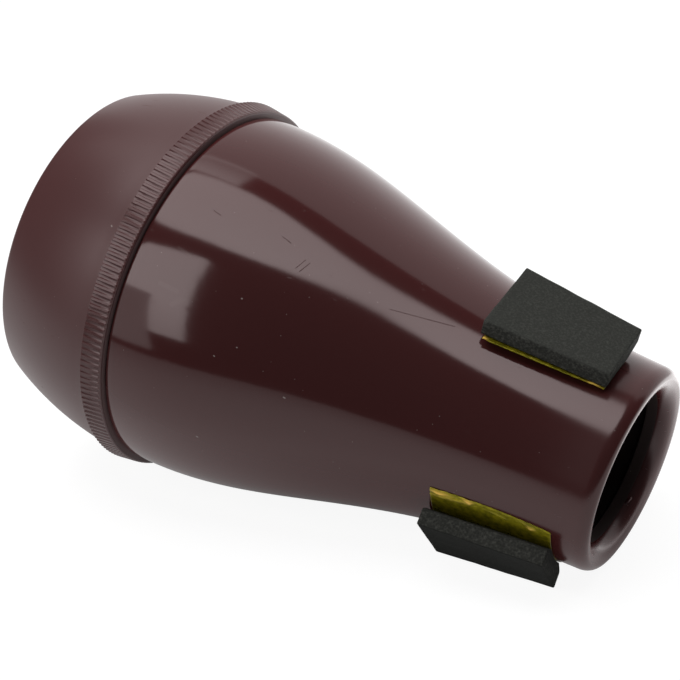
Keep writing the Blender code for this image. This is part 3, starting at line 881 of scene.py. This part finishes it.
rim = rib_cell()
print("faces in one rib cell:", len(rim.faces))
bmesh.ops.spin(
    rim,
    geom=list(rim.verts) + list(rim.edges) + list(rim.faces),
    cent=(0, 0, 0),
    axis=(0, 0, 1),
    angle=TAU * (RIBS - 1) / RIBS,
    steps=RIBS - 1,
    use_duplicate=True,
)
bmesh.ops.remove_doubles(rim, verts=rim.verts, dist=0.002 * MM)
bmesh.ops.recalc_face_normals(rim, faces=rim.faces)
finish_piece(rim, "cap_rim", "cap", "end_cap", RIM_PLASTIC, sharp=40)


# %% [markdown]
# Between the rim and the shoulder lies a flat rubber ring, which stops the cap from buzzing. Only its
# edge shows, as a black line with a faint lighter line where its rounded edge catches the light.

# %% The seal ring
SEAL_IN = 42.5
SEAL_OUT = 44.0
SEAL_TOP = 0.1
SEAL_LOW = -0.9
SEAL_EDGE = 0.25


def rubber_material():
    material, tree, shader = new_material("seal_rubber")
    place = add_node(tree, "ShaderNodeTexCoord")
    mottle = add_node(tree, "ShaderNodeTexNoise", Scale=400.0, Detail=3.0)
    wire(tree, place.outputs["Object"], mottle.inputs["Vector"])
    tone = add_node(tree, "ShaderNodeMix", data_type="RGBA")
    tone.inputs[6].default_value = (0.040, 0.034, 0.034, 1)
    tone.inputs[7].default_value = (0.070, 0.062, 0.062, 1)
    wire(tree, mottle.outputs[0], tone.inputs[0])
    wire(tree, tone.outputs[2], shader.inputs["Base Color"])
    shader.inputs["Roughness"].default_value = 0.55
    return material


seal_points = arc((SEAL_OUT - SEAL_EDGE, SEAL_TOP - SEAL_EDGE), SEAL_EDGE, 90, 0, 4)
seal_points += [(SEAL_OUT, SEAL_LOW), (SEAL_IN, SEAL_LOW)]
seal_points += arc((SEAL_IN + SEAL_EDGE, SEAL_TOP - SEAL_EDGE), SEAL_EDGE, 180, 90, 4)
seal = spin_outline(seal_points, TURN_STEPS)
finish_piece(seal, "seal", "seal", "seal_ring", rubber_material())


# %% [markdown]
# The pads are cut by hand from a sheet of closed-cell foam. It is matt and nearly black, with a fine
# even grain on the skin and torn cells on the cut sides.

# %% Foam
def foam_material(name, dark, light, cell_scale, depth, shade):
    material, tree, shader = new_material(name)
    place = add_node(tree, "ShaderNodeTexCoord")
    cells = add_node(tree, "ShaderNodeTexVoronoi", Scale=cell_scale)
    wire(tree, place.outputs["Object"], cells.inputs["Vector"])
    patches = add_node(tree, "ShaderNodeTexNoise", Scale=cell_scale * 0.7, Detail=4.0)
    wire(tree, place.outputs["Object"], patches.inputs["Vector"])
    open_cells = ramp(tree, patches.outputs[0], (0.38, 0.70), (0.35, 1.4))
    mottle = join(tree, "MULTIPLY", cells.outputs["Distance"], open_cells)
    tone = add_node(tree, "ShaderNodeMix", data_type="RGBA")
    # The last factor is painted light for one pad: above 1 it lightens the foam, below 1 it darkens it as painted
    # shade.
    tone.inputs[6].default_value = (*(part * shade for part in dark), 1)
    tone.inputs[7].default_value = (*(part * shade for part in light), 1)
    wire(tree, mottle, tone.inputs[0])
    wire(tree, tone.outputs[2], shader.inputs["Base Color"])
    shader.inputs["Roughness"].default_value = 0.9
    shader.inputs["Specular IOR Level"].default_value = 0.1
    bump = add_node(tree, "ShaderNodeBump")
    bump.inputs["Strength"].default_value = 0.7
    bump.inputs["Distance"].default_value = depth
    wire(tree, mottle, bump.inputs["Height"])
    wire(tree, bump.outputs[0], shader.inputs["Normal"])
    return material


FOAM_SKIN = ((0.019, 0.0195, 0.0175), (0.034, 0.035, 0.031), 2600.0, 0.00006)
FOAM_CUT = ((0.018, 0.0185, 0.0165), (0.056, 0.056, 0.050), 1900.0, 0.00014)
# Painted light per pad, for skin and cut sides: the top pad is painted lighter for the light it catches, the front
# pad darker for the shade it lies in.
PAD_PAINTED_LIGHT = {"front": (0.60, 0.80), "rear": (1.0, 1.0), "top": (1.28, 1.1)}
pad_foams = {}
for pad_name, (skin, cut) in PAD_PAINTED_LIGHT.items():
    skin_foam = foam_material(f"foam_skin_painted_light_{pad_name}", *FOAM_SKIN, skin)
    pad_foams[pad_name] = (skin_foam, foam_material(f"foam_cut_painted_light_{pad_name}", *FOAM_CUT, cut))
print("foams:", len(pad_foams) * 2)

# %% [markdown]
# Each pad was stuck on by eye, so each sits a little off and one is turned. The record's mounts give
# the middle of each outer face, and from there a pad has its own frame: X out of the neck, Y round it
# and Z to the mouth. A pad is a tapered block with rounded edges, cut into small cells by planes so
# that its faces can be made uneven, as foam that was pressed and cut is.

# %% The pads
PAD_LENGTH = 29.8
PAD_BACK = 21.7
PAD_FRONT = 17.7
PAD_THICK = 3.9
PAD_EDGE = 0.3
PAD_CROWN = 2.0
PAD_CLEAR = 0.36
PAD_TWIST = {"front": 0.5, "rear": 0.0, "top": 2.2}
mounts = {mount["name"]: mount for mount in frame["record"]["mounts"]}


def pad_frame(name):
    mount = mounts[f"pad_{name}_face"]
    out = Vector(mount["axis"]).normalized()
    across = TO_MOUTH.cross(out).normalized()
    matrix = Matrix((out, across, out.cross(across))).transposed().to_4x4()
    matrix.translation = Vector(mount["pos_m"])
    return matrix @ Matrix.Rotation(math.radians(PAD_TWIST[name]), 4, "X")


NECK_TABLE = [point for point in shell_points if point[0] >= NECK_R - 0.01]


def neck_radius(height):
    for upper, lower in zip(NECK_TABLE, NECK_TABLE[1:]):
        if lower[1] <= height <= upper[1]:
            share = (upper[1] - height) / (upper[1] - lower[1])
            return upper[0] + (lower[0] - upper[0]) * share
    return NECK_R


def pad_crown(name, y, z, half):
    """How far the foam under a pad swells in to the neck, in millimetres, at a point of the pad."""
    point = AXIS.inverted() @ pad_frame(name) @ (Vector((-PAD_THICK, y, z)) * MM)
    gap = math.hypot(point.x, point.y) / MM - neck_radius(point.z / MM)
    swell = PAD_CROWN * (1 - min(1.0, abs(y) / half) ** 2)
    return max(0.0, min(gap - PAD_CLEAR, swell))


def cut_into_cells(bm, axis, low, high, count):
    normal = [0, 0, 0]
    normal[axis] = 1
    for i in range(1, count):
        place = [0, 0, 0]
        place[axis] = (low + (high - low) * i / count) * MM
        bmesh.ops.bisect_plane(
            bm, geom=list(bm.verts) + list(bm.edges) + list(bm.faces), plane_co=place, plane_no=normal
        )


def make_pad(name, seed):
    bm = bmesh.new()
    bmesh.ops.create_cube(bm, size=1)
    for vert in bm.verts:
        width = PAD_BACK + (PAD_FRONT - PAD_BACK) * (vert.co.z + 0.5)
        x = (vert.co.x - 0.5) * PAD_THICK
        vert.co = (x * MM, vert.co.y * width * MM, vert.co.z * PAD_LENGTH * MM)
    bmesh.ops.bevel(
        bm,
        geom=list(bm.edges),
        offset=PAD_EDGE * MM,
        segments=2,
        profile=0.5,
        affect="EDGES",
        material=-1,
    )
    cut_into_cells(bm, 0, -PAD_THICK, 0, 4)
    cut_into_cells(bm, 1, -PAD_BACK / 2, PAD_BACK / 2, 20)
    cut_into_cells(bm, 2, -PAD_LENGTH / 2, PAD_LENGTH / 2, 28)
    bm.normal_update()
    for face in bm.faces:
        face.material_index = 0 if face.normal.x > 0.5 else 1
    moves = []
    for vert in bm.verts:
        uneven = noise.noise(vert.co * 260 + Vector((seed, 0, 0)))
        moves.append((vert, vert.normal * uneven * 0.09 * MM))
    for vert, move in moves:
        vert.co += move
    for vert in bm.verts:
        if vert.co.x < (0.25 - PAD_THICK) * MM:
            _, y, z = vert.co / MM
            half = (PAD_BACK + (PAD_FRONT - PAD_BACK) * (z / PAD_LENGTH + 0.5)) / 2
            vert.co.x = min(vert.co.x, -(PAD_THICK + pad_crown(name, y, z, half)) * MM)
    bm.transform(AXIS.inverted() @ pad_frame(name))
    pad = finish_piece(bm, f"pad_{name}", "body", f"foam_pad_{name}", pad_foams[name][0], sharp=80)
    pad.data.materials.append(pad_foams[name][1])
    return pad


for seed, pad_name in enumerate(PAD_TWIST):
    make_pad(pad_name, seed * 7.0)


# %% [markdown]
# Under each pad is a piece of yellow double-sided film that shows past one long side. It is thin and
# glossy, and it has wrinkled: long folds, small blisters and a free edge that curls down. It is a grid
# that is laid on the neck and raised by those folds. Where the film is lifted, air lies behind it and
# it turns from olive to gold; on the folds and blisters this gold is partly a painted highlight. The
# lift is kept as an attribute for the material, and so is a painted shade that darkens the film
# towards its pad.

# %% The film's material
def film_material():
    material, tree, shader = new_material("yellow_film")
    place = add_node(tree, "ShaderNodeTexCoord")
    blotch = add_node(tree, "ShaderNodeTexNoise", Scale=700.0, Detail=5.0)
    wire(tree, place.outputs["Object"], blotch.inputs["Vector"])
    stuck = add_node(tree, "ShaderNodeMix", data_type="RGBA")
    stuck.inputs[6].default_value = (0.12, 0.108, 0.005, 1)
    stuck.inputs[7].default_value = (0.27, 0.235, 0.010, 1)
    contrast = add_node(tree, "ShaderNodeMapRange")
    contrast.inputs["From Min"].default_value = 0.35
    contrast.inputs["From Max"].default_value = 0.68
    wire(tree, blotch.outputs[0], contrast.inputs["Value"])
    wire(tree, contrast.outputs[0], stuck.inputs[0])
    # The gold where the film is lifted is partly a painted highlight on its folds and blisters.
    lift = add_node(tree, "ShaderNodeAttribute", attribute_name="lift")
    tone = add_node(tree, "ShaderNodeMix", data_type="RGBA")
    tone.inputs[7].default_value = (0.90, 0.55, 0.12, 1)
    wire(tree, lift.outputs["Fac"], tone.inputs[0])
    # Painted shade: an attribute darkens the film towards its pad.
    painted_shade_mix = add_node(tree, "ShaderNodeMix", data_type="RGBA", blend_type="MULTIPLY")
    painted_shade_mix.inputs[7].default_value = (0.6, 0.58, 0.55, 1)
    painted_shade = add_node(tree, "ShaderNodeAttribute", attribute_name="painted_shade")
    wire(tree, painted_shade.outputs["Fac"], painted_shade_mix.inputs[0])
    wire(tree, stuck.outputs[2], painted_shade_mix.inputs[6])
    wire(tree, painted_shade_mix.outputs[2], tone.inputs[6])
    wire(tree, tone.outputs[2], shader.inputs["Base Color"])
    shader.inputs["Roughness"].default_value = 0.2
    shader.inputs["Metallic"].default_value = 0.1
    shader.inputs["Specular Tint"].default_value = (1.0, 0.9, 0.2, 1)
    bump = add_node(tree, "ShaderNodeBump")
    bump.inputs["Strength"].default_value = 0.35
    bump.inputs["Distance"].default_value = 0.0002
    wire(tree, blotch.outputs[0], bump.inputs["Height"])
    wire(tree, bump.outputs[0], shader.inputs["Normal"])
    return material


FILM = film_material()
print("film:", FILM.name)

# %% [markdown]
# A fold is a bump along a line and a blister is a bump round a point, both given in millimetres from
# the free edge's back corner: first along the pad, then in from the free edge.

# %% Folds and blisters
FILM_LENGTH = 28.6
FILM_INSET = 0.6
FILM_AHEAD = 0.4
FILM_THICK = 0.12
FILM_LIFT = 0.2
FILM_UNDER = 0.4
FILM_CLEAR = 0.19
SHOWN_ROWS = 22
HIDDEN_ROWS = 12
FILM_COLUMNS = 128
CURL = 0.22
FOLDS = {
    "front": (
        ((-1, 1.6), (10.5, 0.55), 0.5, 0.16),
        ((1.0, 2.2), (11.0, 1.3), 0.2, 0.13),
        ((8.3, 1.3), (9.9, 0.3), 0.22, 0.16),
        ((13.0, 1.1), (19.0, 1.5), 0.10, 0.18),
        ((21.5, 0.5), (25.5, 1.1), 0.14, 0.15),
    ),
    "rear": (((3, 1.2), (14, 0.7), 0.25, 0.16), ((18, 0.6), (27, 0.9), 0.2, 0.15)),
    "top": (((22.0, 0.25), (24.5, 0.05), 0.16, 0.15), ((9, 0.5), (13, 0.4), 0.06, 0.15)),
}
BLISTERS = {
    "front": ((2.3, 0.55, 2.3, 0.42, 0.42), (9.0, 0.3, 1.2, 0.3, 0.42), (23.9, 1.15, 0.9, 0.4, 0.36)),
    "rear": ((6.0, 0.5, 1.5, 0.4, 0.3),),
    "top": ((0.5, 0.3, 0.7, 0.5, 0.30), (26.2, 0.2, 1.6, 0.35, 0.26)),
}
FILM_SHOWS = {"front": (-1, 3.4, 2.4, True), "rear": (1, 1.6, 1.6, True), "top": (1, 0.9, 0.3, False)}


def film_lift(name, along, inward):
    """Height of the film over its bed at a point of the sheet, and how far it is lifted, 0 to 1."""
    height = 0.0
    lifted = 0.0
    spot = Vector((along, inward))
    for start, end, rise, width in FOLDS[name]:
        line = Vector(end) - Vector(start)
        share = min(1.0, max(0.0, (spot - Vector(start)).dot(line) / line.length_squared))
        gap = (spot - Vector(start) - line * share).length / width
        fade = min(1.0, 4 * (1 - share) + 0.15) * min(1.0, 4 * share + 0.15)
        height += rise * fade * math.exp(-gap * gap)
        lifted += 0.35 * rise * fade * math.exp(-gap * gap)
    # Blisters lift the film's gold most, and there the gold is partly a painted highlight.
    for middle, depth, long, wide, rise in BLISTERS[name]:
        gap = ((along - middle) / long) ** 2 + ((inward - depth) / wide) ** 2
        height += rise * math.exp(-gap * 1.3)
        lifted += 2.4 * rise * math.exp(-gap * 1.3)
    height += 0.06 * noise.noise(Vector((along * 0.9, inward * 1.6, len(name))))
    height += 0.04 * noise.noise(Vector((along * 2.6, inward * 3.4, len(name) + 5)))
    curl = max(0.0, 1 - inward / CURL)
    return height - 0.12 * curl * curl, min(1.0, lifted)


# %% The film sheets
def drop_to_neck(place, to_axis, lift):
    """Moves a point straight in, in its pad's frame, until it lies at a height over the neck."""
    for _ in range(4):
        point = to_axis @ place
        place.x += (neck_radius(point.z / MM) + lift) * MM - math.hypot(point.x, point.y)


def make_film(name):
    side, back, front, on_neck = FILM_SHOWS[name]
    to_axis = AXIS.inverted() @ pad_frame(name)
    rows = SHOWN_ROWS + HIDDEN_ROWS
    bm = bmesh.new()
    lift_layer = bm.verts.layers.float.new("lift")
    painted_shade_layer = bm.verts.layers.float.new("painted_shade")
    bmesh.ops.create_grid(bm, x_segments=FILM_COLUMNS, y_segments=rows, size=1)
    for vert in bm.verts:
        share = (vert.co.x + 1) / 2
        row = round((vert.co.y + 1) / 2 * rows)
        half = (PAD_BACK + (PAD_FRONT - PAD_BACK) * share) / 2
        shown = back + (front - back) * share
        along = share * FILM_LENGTH
        edge = 0.07 * noise.noise(Vector((along * 0.7, 3.0, len(name))))
        if row <= SHOWN_ROWS:
            inward = shown * row / SHOWN_ROWS
        else:
            inward = shown + (2 * half - FILM_INSET) * (row - SHOWN_ROWS) / HIDDEN_ROWS
        height, lifted = film_lift(name, along, inward)
        keep = min(1.0, max(0.0, (shown + 1.0 - inward) / 1.0))
        vert[lift_layer] = lifted * keep
        # Painted shade: the film darkens towards its pad, and the top film, under the pad's edge, is darkened all
        # over.
        deep = max(0.0, inward / shown - 0.6) / 0.4 if on_neck else 0.9
        vert[painted_shade_layer] = min(1.0, deep * (1 + 0.3 * noise.noise(Vector((along * 0.8, inward * 2, 9)))))
        across = side * (half + shown - inward + edge * keep)
        swell = (1 - keep) * pad_crown(name, across, along - FILM_LENGTH / 2 + FILM_AHEAD, half)
        under = height * keep - PAD_THICK - swell - (FILM_UNDER * keep + FILM_CLEAR * (1 - keep))
        place = Vector((under, across, along - FILM_LENGTH / 2 + FILM_AHEAD)) * MM
        if on_neck:
            drop_to_neck(place, to_axis, FILM_LIFT + height * keep)
        vert.co = to_axis @ place
    bmesh.ops.recalc_face_normals(bm, faces=bm.faces)
    film = finish_piece(bm, f"film_{name}", "body", f"adhesive_film_{name}", FILM, sharp=180)
    thicken = film.modifiers.new("thickness", "SOLIDIFY")
    thicken.thickness = FILM_THICK * MM
    thicken.offset = 0
    return film


for pad_name in PAD_TWIST:
    make_film(pad_name)
